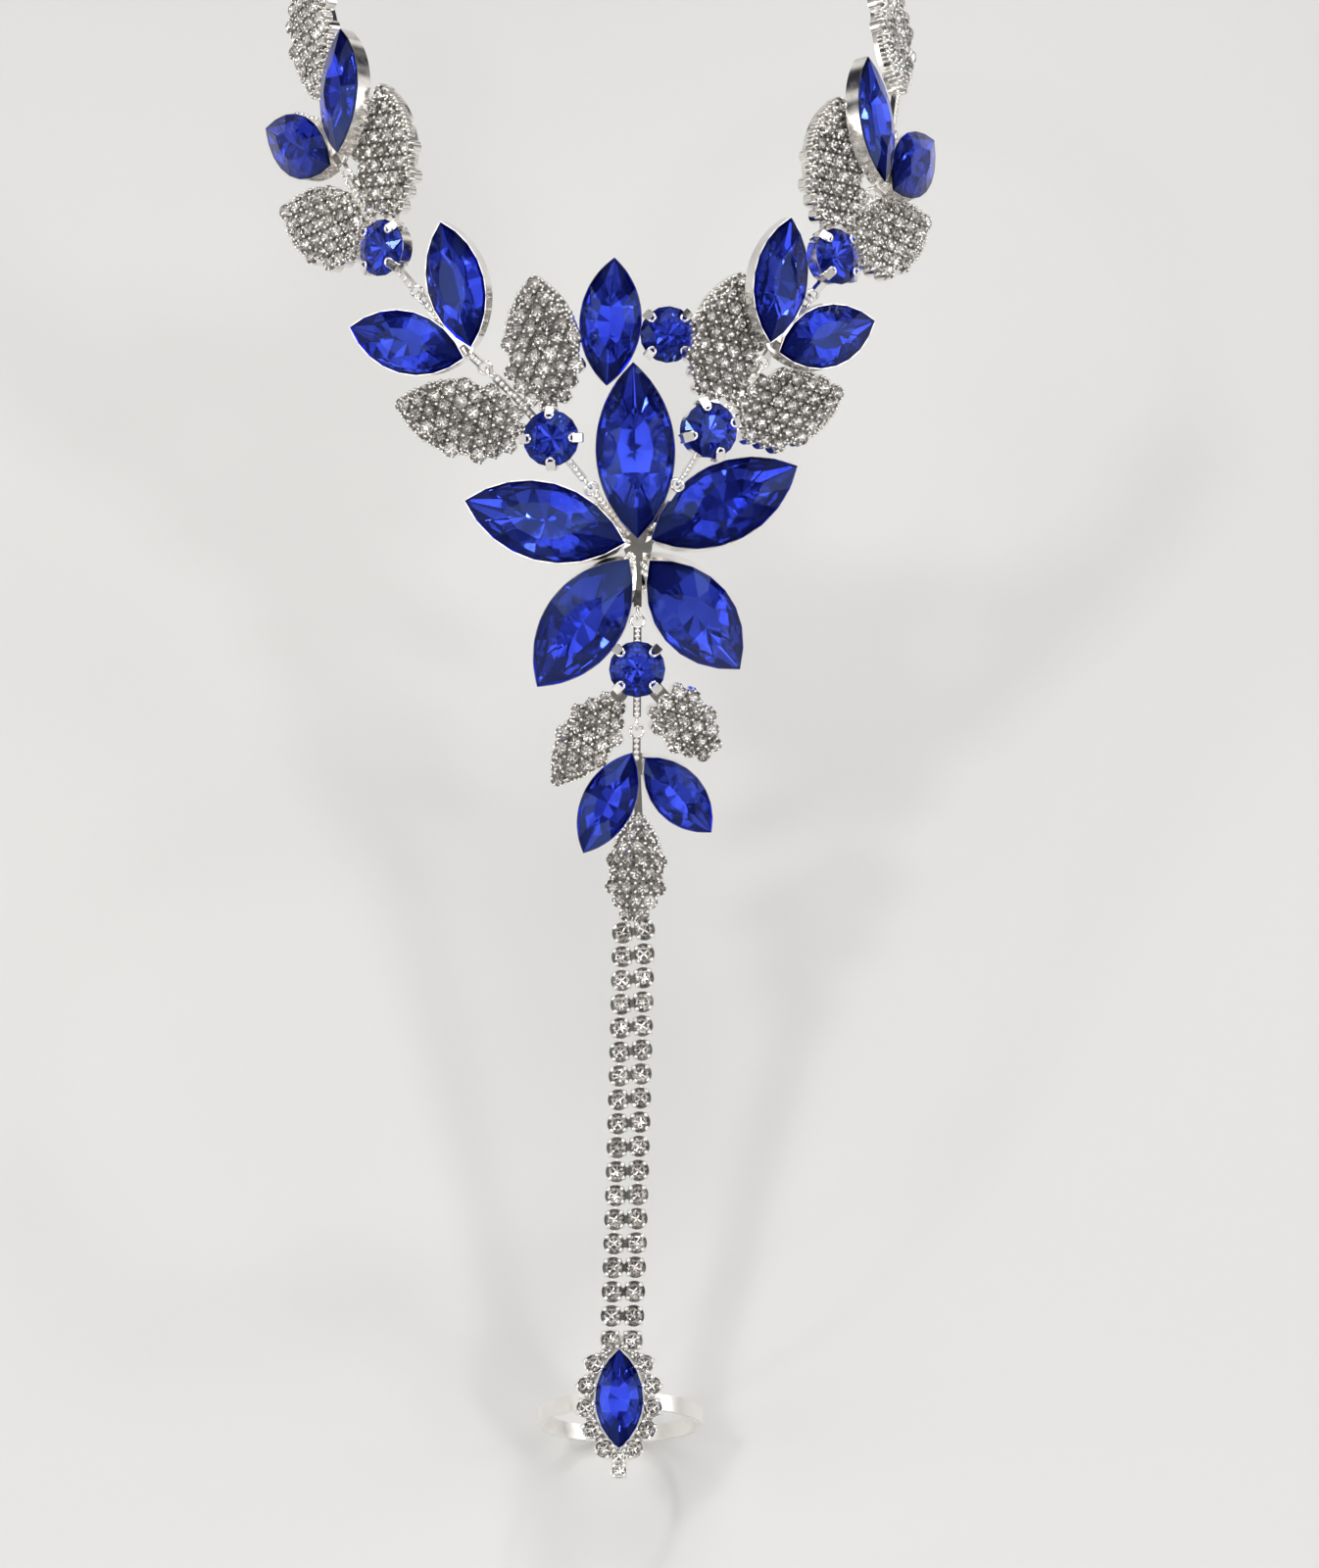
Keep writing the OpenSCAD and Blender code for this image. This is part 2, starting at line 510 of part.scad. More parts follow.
module side_spray(pl, link_in, link_out) {
    color("silver") union() {
        placed(pl) spray(pl);
        second_of(link_in);
        first_of(link_out);
    }
}
module left_spray() { side_spray(SPRAY_L2, LINK_L2, LINK_L3); }
module right_spray() { side_spray(SPRAY_R2, LINK_R2, LINK_R3); }

// The last leaf of a side ends in an eye for the back chain
end_eye_x = leaf_len(END_LEAF_ROWS, leaf_pitch) + end_eye_d/2;
module end_leaf(pl, link_in) {
    color("silver") union() {
        placed(pl) leaf(END_LEAF_ROWS, leaf_pitch);
        placed(pl) translate([end_eye_x, 0, link_wire/2]) wire_ring(end_eye_d/2, link_wire);
        second_of(link_in);
    }
}
module left_end_leaf() { end_leaf(LEAF_L, LINK_L4); }
module right_end_leaf() { end_leaf(LEAF_R, LINK_R4); }

// The middle of the clasp ring
clasp_mid = loop_at(180) + [0, 0, 3];
// A point as [angle from the instep, distance from the middle, height]
function polar(p) = let (q = turned(p, -loop_turn)) [atan2(abs(q.x), -q.y), norm([q.x, q.y]), q.z];
// How far a ring's wire passes the middle between two rings
link_lap = link_wire/2 + stone_gap;
// One side has an odd number of rings, so that the first stands across its eye and the last across the clasp
module back_chain(pl, side) {
    from = polar(placed_point(pl, [end_eye_x + end_eye_d/2 - link_lap, 0, link_wire/2]));
    last_gap = clasp_d/2 - clasp_wire/2 - link_wire/2 - stone_gap;
    end_angle = 180 - asin(last_gap/loop_back);
    arc = (end_angle - from[0])*PI/180*(from[1] + loop_back)/2;
    n = 2*round((arc/link_pitch - 1)/2) + 1;
    z1 = clasp_mid.z;
    ends = [for (i = [0:n]) let (k = i/n, a = from[0] + (end_angle - from[0])*k,
        r = from[1] + (loop_back - from[1])*min(1, 3*k), z = from[2] + (z1 - from[2])*k)
        turned([side*r*sin(a), -r*cos(a), z], loop_turn)];
    color("silver") for (i = [0:n - 1]) {
        mid = (ends[i] + ends[i + 1])/2;
        ring_r = norm(ends[i + 1] - ends[i])/2 + link_lap;
        aim(mid, ends[i + 1], [0, 0, 1]) rotate([90, 0, i%2 == 0 ? 90 : 0]) wire_ring(ring_r, link_wire);
    }
}
module left_back_chain() { back_chain(LEAF_L, LEFT); }
module right_back_chain() { back_chain(LEAF_R, RIGHT); }
module clasp() {
    color("silver") translate(clasp_mid) rotate([0, 0, loop_turn]) rotate([90, 0, 0])
        wire_ring(clasp_d/2, clasp_wire);
}

// The drop's round cup with its two leaves
module drop_spray() {
    color("silver") union() {
        seat(drop_round) {
            round_cup();
            cup_leaf(DROP_LEFT_ROWS, drop_leaf_pitch, DROP_LEAF_TURNS[0], DROP_LEAF_DROOPS[0]);
            cup_leaf(DROP_RIGHT_ROWS, drop_leaf_pitch, DROP_LEAF_TURNS[1], DROP_LEAF_DROOPS[1]);
        }
        second_of(LINK_D1);
        first_of(LINK_D2);
    }
}

// The drop's pair of trays, with the last leaf and the first row of the chain soldered on
module drop_pair_setting() {
    color("silver") union() {
        for (k = [0, 1]) drop_pair_seat(k) marquise_tray(drop_marquise_len, drop_marquise_w);
        seat(drop_pair) translate([0, -1.4, 0]) cylinder(r = 1.5, h = plate_t);
        bar(seat_point(drop_pair, [0, -1, plate_t/2]), seat_point(drop_end, [DROP_END_SHIFT, -1, plate_t/2]),
            seat_n(drop_pair));
        seat(drop_end) translate([DROP_END_SHIFT, 0, 0]) rotate([0, 0, DROP_END_TURN])
            leaf(DROP_END_ROWS, drop_leaf_pitch);
        placed_row(0);
        second_of(LINK_D2);
    }
}

// A chain row: two cups on a short bar, each bored for its stone and slotted into four claws
module chain_cup_outer() { cylinder(r = chain_cup_r, h = chain_cup_h + chain_stone_d*0.22); }
module chain_cup_cut() {
    translate([0, 0, CHAIN_FLOOR]) cylinder(r = chain_bore_r, h = chain_cup_h*2);
    translate([0, 0, chain_cup_h]) cylinder(r = chain_stone_d/2 + stone_gap, h = chain_cup_h);
    for (a = [0, 90]) rotate([0, 0, a]) translate([-chain_cup_r*2, -chain_stone_d*0.3, chain_cup_h])
        cube([chain_cup_r*4, chain_stone_d*0.6, chain_cup_h]);
}
module chain_row() {
    difference() {
        union() {
            for (s = [-1, 1]) translate([s*chain_pair_pitch/2, 0, 0]) chain_cup_outer();
            translate([-chain_pair_pitch/2, -0.5, 0]) cube([chain_pair_pitch, 1, chain_cup_h*0.6]);
        }
        for (s = [-1, 1]) translate([s*chain_pair_pitch/2, 0, 0]) chain_cup_cut();
    }
}
// Rows of the chain by number: row 0 is soldered to the last leaf, and the last row to the toe plate
first_row_at = DROP_LEAF_AT + drop_leaf_rows_len + chain_cup_r - 0.15;
toe_head_len = marquise_tip(toe_marquise_len, toe_marquise_w, stone_gap + tray_wall);
last_row_at = drop_len - toe_head_len - 0.9;
function row_at(i) = first_row_at + (last_row_at - first_row_at)*i/(chain_rows + 1);
function row_skew(i) = chain_skew*(1 - i/(chain_rows + 1));
module row_seat(i) { seat(drop_seat(row_at(i))) rotate([0, 0, row_skew(i)]) children(); }
function cup_mid(i, s) = seat_point(drop_seat(row_at(i)),
    turned([s*chain_pair_pitch/2, 0, chain_wire_z], row_skew(i)));
// A row in its place, with the holes for the wires to the rows before and after it
module placed_row(i) {
    difference() {
        row_seat(i) chain_row();
        for (k = [i - 1, i + 1], s = [-1, 1]) if (k >= 0 && k <= chain_rows + 1)
            aim(cup_mid(i, s), cup_mid(k, s), [0, 0, 1])
                cylinder(d = chain_wire + 2*WIRE_GAP, h = chain_cup_r + 1, $fn = 24);
    }
}
// The wire from a row to the next one, with a ball in each cup
module row_wire(i, s) {
    ball_at = chain_bore_r - chain_ball_r - WIRE_GAP;
    a = towards(cup_mid(i, s), cup_mid(i + 1, s), ball_at);
    b = towards(cup_mid(i + 1, s), cup_mid(i, s), ball_at);
    aim(a, b, [0, 0, 1]) {
        cylinder(d = chain_wire, h = norm(b - a), $fn = 24);
        sphere(r = chain_ball_r, $fn = 24);
        translate([0, 0, norm(b - a)]) sphere(r = chain_ball_r, $fn = 24);
    }
}
module chain_cups() {
    color("silver") {
        for (i = [1:chain_rows]) placed_row(i);
        for (i = [0:chain_rows], s = [-1, 1]) row_wire(i, s);
    }
}
module chain_stones() {
    for (i = [0:chain_rows + 1]) row_seat(i) for (s = [-1, 1]) translate([s*chain_pair_pitch/2, 0, 0])
        small_stone(chain_stone_d, chain_cup_h + stone_gap);
}

// The toe plate: a marquise tray along the foot in a ring of small cups, on the band
toe_head = drop_seat(drop_len);
// Places of the small cups along each side of the plate
HALO_Y = [4.2, 1.5, -1.2, -3.75, -6.05];
// Small cups: their wall beyond the stone, how far they reach into the tray's wall, and their height
HALO_WALL = 0.1;
HALO_SINK = 0.2;
HALO_H = 1.8;
halo_tip_from = toe_marquise_len/2 + halo_tip_d/2 + HALO_WALL + stone_gap;
function halo_x(y) = let (r = bow(toe_marquise_len, toe_marquise_w))
    sqrt(pow(r + tray_wall + stone_gap + halo_stone_d/2 + HALO_WALL - HALO_SINK, 2) - y*y)
    - (r - toe_marquise_w/2);
// The small stones of the plate: [right, up, diameter]
HALO = concat([for (s = [-1, 1], y = HALO_Y) [s*halo_x(y), y, halo_stone_d]],
    [for (k = [0, 1]) [0, -halo_tip_from - k*(halo_tip_d + stone_gap), halo_tip_d]]);
// The bore of the band leans about the top of the band
module band_seat() {
    translate([0, 0, 0.3]) rotate([-band_lean, 0, 0]) translate([0, band_w/2, -toe_bore_d/2 - band_t])
        rotate([90, 0, 0]) children();
}
module toe_ring() {
    color("silver") union() {
        seat(toe_head) {
            rotate([0, 0, 90]) marquise_tray(toe_marquise_len, toe_marquise_w);
            for (p = HALO) translate([p.x, p.y, 0]) difference() {
                cylinder(d = p[2] + 2*HALO_WALL, h = HALO_H);
                translate([0, 0, plate_t]) cylinder(d = p[2] - 0.4, h = HALO_H, $fn = 24);
            }
            linear_extrude(plate_t) marquise_plate();
            band_seat() difference() {
                cylinder(d = toe_bore_d + 2*band_t, h = band_w, $fn = 96);
                translate([0, 0, -1]) cylinder(d = toe_bore_d, h = band_w + 2, $fn = 96);
            }
        }
        placed_row(chain_rows + 1);
    }
}
// The outline of the plate under the tray and the small cups
module marquise_plate() {
    rotate(90) marquise(toe_marquise_len, toe_marquise_w, tray_wall + stone_gap + halo_stone_d*0.6);
}
module halo_stones() {
    for (p = HALO) seat(toe_head) translate([p.x, p.y, 0]) small_stone(p[2], HALO_H + stone_gap);
}

module petal_1() { petal(0); }
module petal_2() { petal(1); }
module petal_3() { petal(2); }
module petal_4() { petal(3); }
module petal_5() { petal(4); }
module top_marquise() { top_bar_seat() marquise_stone(marquise_len, marquise_w); }
module pair_stone(pl, k) { placed(pl) pair_seat(pl, k) marquise_stone(marquise_len, marquise_w); }
module drop_stone(k) { drop_pair_seat(k) marquise_stone(drop_marquise_len, drop_marquise_w); }
module toe_marquise() { seat(toe_head) rotate([0, 0, 90]) marquise_stone(toe_marquise_len, toe_marquise_w); }

front_setting();
flower_setting();
left_pair_setting_1();
right_pair_setting_1();
left_spray();
right_spray();
left_pair_setting_2();
right_pair_setting_2();
left_end_leaf();
right_end_leaf();
drop_spray();
drop_pair_setting();
chain_cups();
toe_ring();
left_back_chain();
right_back_chain();
clasp();
petal_1();
petal_2();
petal_3();
petal_4();
petal_5();
top_marquise();
pair_stone(PAIR_L1, 0);  // left_marquise_1
pair_stone(PAIR_L1, 1);  // left_marquise_2
pair_stone(PAIR_L2, 0);  // left_marquise_3
pair_stone(PAIR_L2, 1);  // left_marquise_4
pair_stone(PAIR_R1, 0);  // right_marquise_1
pair_stone(PAIR_R1, 1);  // right_marquise_2
pair_stone(PAIR_R2, 0);  // right_marquise_3
pair_stone(PAIR_R2, 1);  // right_marquise_4
drop_stone(0);  // drop_marquise_left
drop_stone(1);  // drop_marquise_right
toe_marquise();
placed(TOP_BAR) translate(TOP_ROUND_AT) round_stone();  // top_round
placed(SPRAY_L1) round_stone();  // left_round_1
placed(SPRAY_L2) round_stone();  // left_round_2
placed(SPRAY_R1) round_stone();  // right_round_1
placed(SPRAY_R2) round_stone();  // right_round_2
seat(drop_round) round_stone();
halo_stones();
chain_stones();
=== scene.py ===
import math
import random

import bmesh
import bpy
import numpy as np
from mathutils import Matrix, Vector


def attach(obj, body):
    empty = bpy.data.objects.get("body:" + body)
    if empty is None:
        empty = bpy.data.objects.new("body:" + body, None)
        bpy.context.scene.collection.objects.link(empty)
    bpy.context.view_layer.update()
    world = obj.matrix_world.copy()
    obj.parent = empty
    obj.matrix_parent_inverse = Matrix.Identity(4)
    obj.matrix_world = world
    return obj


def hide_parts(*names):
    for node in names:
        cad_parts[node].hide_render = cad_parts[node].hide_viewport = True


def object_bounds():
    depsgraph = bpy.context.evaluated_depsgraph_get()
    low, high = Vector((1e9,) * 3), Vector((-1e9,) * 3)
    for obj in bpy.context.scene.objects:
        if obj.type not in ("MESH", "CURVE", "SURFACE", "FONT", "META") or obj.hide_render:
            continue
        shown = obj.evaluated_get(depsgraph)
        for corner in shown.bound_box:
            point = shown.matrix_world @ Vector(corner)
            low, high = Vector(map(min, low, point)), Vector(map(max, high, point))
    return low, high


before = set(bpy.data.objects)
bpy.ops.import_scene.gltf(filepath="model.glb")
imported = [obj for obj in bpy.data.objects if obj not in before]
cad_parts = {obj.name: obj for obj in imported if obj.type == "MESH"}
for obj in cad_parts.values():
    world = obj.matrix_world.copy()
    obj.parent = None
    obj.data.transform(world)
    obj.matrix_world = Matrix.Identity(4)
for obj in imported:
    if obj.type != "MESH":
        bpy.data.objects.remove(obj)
cad_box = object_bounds()

# The camera stands in front of the toes and looks down the foot, as the photograph does. Its lens
# is 109 mm on a sensor 36 mm high, so that the whole drop and the front of the anklet fill the
# picture.
mm = 0.001
camera_place = Vector((9.0, -432.9, 442.2)) * mm
camera_tilt = math.radians(35.0)
camera = bpy.data.objects.new("camera", bpy.data.cameras.new("camera"))
camera.data.lens = 109.35
camera.data.sensor_fit = "VERTICAL"
camera.data.sensor_height = 36.0
camera.data.clip_start = 0.01
camera.location = camera_place
camera.rotation_euler = (camera_tilt, 0.0, 0.0)
bpy.context.scene.collection.objects.link(camera)
bpy.context.scene.camera = camera


# The blue marquise stones are pressed glass, cut with a pointed table, kites and triangles over a
# thin girdle. Their backs are cut to a keel and foiled like a mirror, so light comes back through
# the blue glass in large bright and dark flats. Each lies in the tray of its CAD stone.
def node_corners(node):
    """All corners of a CAD node's mesh, one a row."""
    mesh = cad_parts[node].data
    flat = np.zeros(len(mesh.vertices) * 3)
    mesh.vertices.foreach_get("co", flat)
    return flat.reshape(-1, 3)


def node_points(node):
    """The different corners of a CAD node's mesh."""
    return np.unique(np.round(node_corners(node), 8), axis=0)


def stone_seat(points):
    """Seat, half length, half width, height above and depth below the girdle of a plain cut stone.

    The seat is a matrix: its place is the middle at girdle height, X points to the furthest corner
    and Z out of the table.
    """
    middle = points.mean(axis=0)
    spread = points - middle
    z = np.linalg.svd(spread, full_matrices=False)[2][2]
    height = spread @ z
    reach = np.linalg.norm(spread - np.outer(height, z), axis=1)
    rim = reach > reach.max() * 0.995
    girdle = height[rim].mean()
    if np.median(height) < girdle:
        z, height, girdle = -z, -height, -girdle
    furthest = np.argmax(reach)
    x = spread[furthest] - z * height[furthest]
    x /= np.linalg.norm(x)
    y = np.cross(z, x)
    place = middle + z * girdle
    seat = Matrix.Translation(place) @ Matrix((x, y, z)).transposed().to_4x4()
    half_width = np.abs(spread @ y).max()
    return seat, reach.max(), half_width, height.max() - girdle, girdle - height.min()


def marquise_outline(half_length, half_width, wider=0.0):
    """A function from an angle to a point of the outline: two arcs that meet in two tips."""
    bow = (half_length**2 + half_width**2) / (2 * half_width)
    offset = bow - half_width
    bow += wider
    half_angle = math.acos(offset / bow)

    def point(angle, scale=1.0):
        turn = (angle / math.pi) % 2
        side = 1 if turn <= 1 else -1
        along = half_angle * (1 - 2 * (turn if turn <= 1 else turn - 1))
        x = bow * math.sin(along) * side
        y = (bow * math.cos(along) - offset) * side
        return x * scale, y * scale

    return point


def round_outline(radius):
    """A function from an angle to a point of a circle."""
    def point(angle, scale=1.0):
        return radius * scale * math.cos(angle), radius * scale * math.sin(angle)

    return point


def cut_facets(outline, mains, crown, depth, girdle, table, star, lower, keel, brim=None, brim_z=0.0):
    """Corners, crown facets and back facets of a cut stone.

    mains is the number of kites; crown, depth and girdle are heights. table, star and lower are the
    sizes of the table, of the ring of star points and of the ring of the back's lower points, as
    shares of the outline. keel is the half length of the edge at the back. brim is the wider
    outline of a crown that laps over its tray's rim, and brim_z is the height of that rim.
    """
    brim_edge = 0.04 * mm
    star_bulge = 1.12
    lower_share = 0.74
    corners = []

    def ring(scale, z, offset, count, shape=outline):
        start = len(corners)
        for i in range(count):
            x, y = shape(2 * math.pi * (i + offset) / count, scale)
            corners.append((x, y, z))
        return [start + i for i in range(count)]

    base = brim_z + brim_edge if brim else girdle / 2
    table_ring = ring(table, crown, 0, mains)
    star_ring = ring(star, base + (crown - base) * (1 - star) / (1 - table) * star_bulge, 0.5, mains)
    upper = ring(1, base, 0, 2 * mains, brim or outline)
    under = ring(1, -girdle / 2, 0, 2 * mains)
    neck = ring(1, brim_z, 0, 2 * mains) if brim else upper
    low_ring = ring(lower, -depth * lower_share, 0.5, mains) if lower else None
    keel_ring = []
    for i in range(mains):
        reach = math.cos(2 * math.pi * i / mains)
        corners.append((keel * reach, 0.0, -depth))
        keel_ring.append(len(corners) - 1)
    crown_facets = [tuple(table_ring)]
    back_facets = []
    for i in range(mains):
        j = (i + 1) % mains
        crown_facets.append((table_ring[i], star_ring[i], table_ring[j]))
        crown_facets.append((table_ring[i], star_ring[i - 1], upper[2 * i]))
        crown_facets.append((table_ring[i], upper[2 * i], star_ring[i]))
        crown_facets.append((star_ring[i], upper[2 * i], upper[2 * i + 1]))
        crown_facets.append((star_ring[i], upper[2 * i + 1], upper[2 * j]))
        for a, b in ((2 * i, 2 * i + 1), (2 * i + 1, 2 * j)):
            crown_facets.append((neck[a], under[a], under[b], neck[b]))
            if brim:
                crown_facets.append((upper[a], neck[a], neck[b], upper[b]))
        if lower:
            back_facets.append((low_ring[i], under[2 * i + 1], under[2 * i]))
            back_facets.append((low_ring[i], under[2 * j], under[2 * i + 1]))
            back_facets.append((keel_ring[i], low_ring[i], under[2 * i]))
            back_facets.append((keel_ring[i], under[2 * i], low_ring[i - 1]))
        else:
            back_facets.append((keel_ring[i], under[2 * i + 1], under[2 * i]))
            back_facets.append((keel_ring[i], keel_ring[j], under[2 * i + 1]))
            back_facets.append((keel_ring[j], under[2 * j], under[2 * i + 1]))
    return corners, crown_facets, back_facets


def add_piece(name, corners, facets, materials, which=None, smooth=False):
    """A mesh piece that rides on the jewel. which gives each facet's material by number."""
    mesh = bpy.data.meshes.new(name)
    mesh.from_pydata(corners, [], facets)
    for material in materials:
        mesh.materials.append(material)
    if which is not None:
        mesh.polygons.foreach_set("material_index", which)
    mesh.polygons.foreach_set("use_smooth", [smooth] * len(facets))
    mesh.update()
    piece = bpy.data.objects.new(name, mesh)
    bpy.context.scene.collection.objects.link(piece)
    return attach(piece, "root")


def surface(name, metallic=0.0, roughness=0.3, ior=1.5, transmission=0.0):
    """A new material with its nodes and its shader."""
    material = bpy.data.materials.new(name)
    material.use_nodes = True
    nodes = material.node_tree.nodes
    shader = nodes["Principled BSDF"]
    shader.inputs["Metallic"].default_value = metallic
    shader.inputs["Roughness"].default_value = roughness
    shader.inputs["IOR"].default_value = ior
    shader.inputs["Transmission Weight"].default_value = transmission
    return material, nodes, material.node_tree.links, shader


def mottle(nodes, links, scale, low, high, detail=3.0):
    """A colour or grey that wanders between low and high over the piece, in patches 1/scale m wide."""
    place = nodes.new("ShaderNodeTexCoord")
    noise = nodes.new("ShaderNodeTexNoise")
    noise.inputs["Scale"].default_value = scale
    noise.inputs["Detail"].default_value = detail
    ramp = nodes.new("ShaderNodeValToRGB")
    ramp.color_ramp.elements[0].position = 0.35
    ramp.color_ramp.elements[1].position = 0.65
    ramp.color_ramp.elements[0].color = low
    ramp.color_ramp.elements[1].color = high
    links.new(place.outputs["Object"], noise.inputs["Vector"])
    links.new(noise.outputs["Fac"], ramp.inputs["Fac"])
    return ramp.outputs["Color"]


def glass(name, low, high, ior, sheen):
    """Cut glass whose body colour wanders a little from stone to stone. sheen tints its reflections."""
    material, nodes, links, shader = surface(name, roughness=0.0, ior=ior, transmission=1.0)
    shader.inputs["Specular Tint"].default_value = sheen
    links.new(mottle(nodes, links, 90.0, low, high, 1.0), shader.inputs["Base Color"])
    return material


def foil(name, low, high, roughness, mirror, scale):
    """The foil on the back of a stone: part mirror and part pale lacquer, in patches 1/scale m wide."""
    material, nodes, links, shader = surface(name, metallic=mirror, roughness=roughness)
    links.new(mottle(nodes, links, scale, low, high), shader.inputs["Base Color"])
    return material


blue_glass = glass("royal_blue_glass", (0.028, 0.048, 0.48, 1), (0.046, 0.082, 0.64, 1), 1.53,
                   (0.26, 0.40, 0.85, 1))
blue_foil = foil("blue_stone_foil", (0.66, 0.70, 0.88, 1), (0.84, 0.86, 0.96, 1), 0.06, 0.86, 260)


def set_blue_stone(node, seat, corners, crown_facets, back_facets):
    """A cut blue stone in its seat, which stands for the plain stone of a CAD node."""
    placed = [seat @ Vector(corner) for corner in corners]
    which = [0] * len(crown_facets) + [1] * len(back_facets)
    stone = add_piece(node + "_cut", placed, crown_facets + back_facets, [blue_glass, blue_foil], which)
    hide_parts(node)


girdle_share = 0.06
rim_rise = 0.12 * mm
brim_width = 0.37 * mm
toe_brim_width = 0.22 * mm
marquise_nodes = sorted(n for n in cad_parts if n.startswith("petal_") or "marquise" in n)
for node in marquise_nodes:
    seat, half_length, half_width, crown, depth = stone_seat(node_points(node))
    girdle = girdle_share * half_width
    lap = toe_brim_width if node == "toe_marquise" else brim_width
    cut = cut_facets(
        marquise_outline(half_length, half_width), mains=8, crown=crown, depth=depth, girdle=girdle,
        table=0.5, star=0.76, lower=None, keel=half_length * 0.36,
        brim=marquise_outline(half_length, half_width, lap), brim_z=girdle / 2 + rim_rise)
    set_blue_stone(node, seat, *cut)

# The round blue stones are cut as brilliants of the same glass, with a flat table and eight kites,
# and foiled on the back. Four claws hold each in its cup.
round_nodes = sorted(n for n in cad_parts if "round" in n)
round_seats = {}
for node in round_nodes:
    seat, radius, _, crown, depth = stone_seat(node_points(node))
    round_seats[node] = (seat, radius, crown)
    cut = cut_facets(
        round_outline(radius), mains=8, crown=crown, depth=depth, girdle=girdle_share * radius,
        table=0.52, star=0.76, lower=0.5, keel=0)
    set_blue_stone(node, seat, *cut)


# The metal is brass, silver plated and polished bright after all its parts were soldered. The
# plate has a soft sheen with faint rub marks. It covers every tray, cup, leaf, link and band, and is
# left satin on the toe ring's band.
def silver_plate(name, rough_low, rough_high, tint_low, tint_high, scale):
    """Polished plate: its colour, gloss and surface wander in patches 1/scale m wide."""
    material, nodes, links, shader = surface(name, metallic=1.0)
    links.new(mottle(nodes, links, scale, tint_low, tint_high), shader.inputs["Base Color"])
    low = (rough_low,) * 3 + (1,)
    high = (rough_high,) * 3 + (1,)
    links.new(mottle(nodes, links, scale * 3, low, high), shader.inputs["Roughness"])
    rub = nodes.new("ShaderNodeTexNoise")
    rub.inputs["Scale"].default_value = scale * 8
    bump = nodes.new("ShaderNodeBump")
    bump.inputs["Strength"].default_value = 0.08
    bump.inputs["Distance"].default_value = 0.02 * mm
    links.new(rub.outputs["Fac"], bump.inputs["Height"])
    links.new(bump.outputs["Normal"], shader.inputs["Normal"])
    return material


plated = silver_plate("bright_silver_plate", 0.10, 0.20, (0.86, 0.84, 0.81, 1), (0.96, 0.94, 0.91, 1), 300)
stone_nodes = set(marquise_nodes) | set(round_nodes) | {"halo_stones", "chain_stones"}
metal_nodes = sorted(set(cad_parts) - stone_nodes)
satin = silver_plate("satin_silver_band", 0.30, 0.40, (0.90, 0.88, 0.85, 1), (0.97, 0.95, 0.92, 1), 300)
for node in metal_nodes:
    cad_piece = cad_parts[node]
    cad_piece.data.materials.clear()
    cad_piece.data.materials.append(satin if node == "toe_ring" else plated)

# Each claw of a round stone is a strip of the cup that is slit, folded up over the girdle and
# pressed down on the crown, so it shows as a bright open U. It covers the CAD cup's plain claw.
claw_wire = 0.17 * mm
claw_half_width = 0.46 * mm
cup_of = {"top_round": "front_setting", "left_round_1": "front_setting", "right_round_1": "front_setting",
          "left_round_2": "left_spray", "right_round_2": "right_spray", "drop_round": "drop_spray"}


def claw_angle(seat, radius, crown, metal_points):
    """The direction of the first of four claws, from the metal that stands over the stone's edge."""
    local = (metal_points - np.array(seat.translation)) @ np.array(seat.to_3x3())
    reach = np.hypot(local[:, 0], local[:, 1])
    height = local[:, 2]
    over = (reach < radius) & (reach > radius * 0.7) & (height > crown * 0.3) & (height < crown * 1.6)
    angles = np.arctan2(local[over, 1], local[over, 0])
    return np.angle(np.exp(4j * angles).mean()) / 4


def tube(path, radius, sides=8):
    """Corners and facets of a wire along a path, closed at both ends."""
    corners = []
    facets = []
    points = [Vector(p) for p in path]
    side = (points[1] - points[0]).orthogonal().normalized()
    for i, point in enumerate(points):
        ahead = points[min(i + 1, len(points) - 1)]
        behind = points[max(i - 1, 0)]
        along = (ahead - behind).normalized()
        side = (side - along * side.dot(along)).normalized()
        up = along.cross(side)
        for k in range(sides):
            angle = 2 * math.pi * k / sides
            corners.append(point + (side * math.cos(angle) + up * math.sin(angle)) * radius)
    for i in range(len(points) - 1):
        for k in range(sides):
            a = i * sides + k
            b = i * sides + (k + 1) % sides
            facets.append((a, b, b + sides, a + sides))
    facets.append(tuple(range(sides - 1, -1, -1)))
    last = (len(points) - 1) * sides
    facets.append(tuple(range(last, last + sides)))
    return corners, facets


def folded_claw(radius, crown):
    """The path of one claw, with X out from the stone's middle: up, over the edge, round and back.

    leg holds the places and heights of one side, from the cup's wall to the top of the crown.
    """
    reach_in = radius * 0.30
    outside = radius + 0.30 * mm
    leg = [(outside - 0.2 * mm, -1.5 * mm), (outside, -0.5 * mm), (outside, 0.15 * mm),
           (outside - 0.12 * mm, 0.42 * mm), (radius - 0.35 * mm, 0.30 * crown + 0.42 * mm)]
    path = [(x, -claw_half_width, z) for x, z in leg]
    turns = 8
    bend_x = radius - reach_in + claw_half_width
    top_z = 0.62 * crown + 0.30 * mm
    for i in range(turns + 1):
        angle = math.pi * i / turns
        path.append((bend_x - claw_half_width * math.sin(angle), -claw_half_width * math.cos(angle), top_z))
    path += [(x, claw_half_width, z) for x, z in reversed(leg)]
    return path


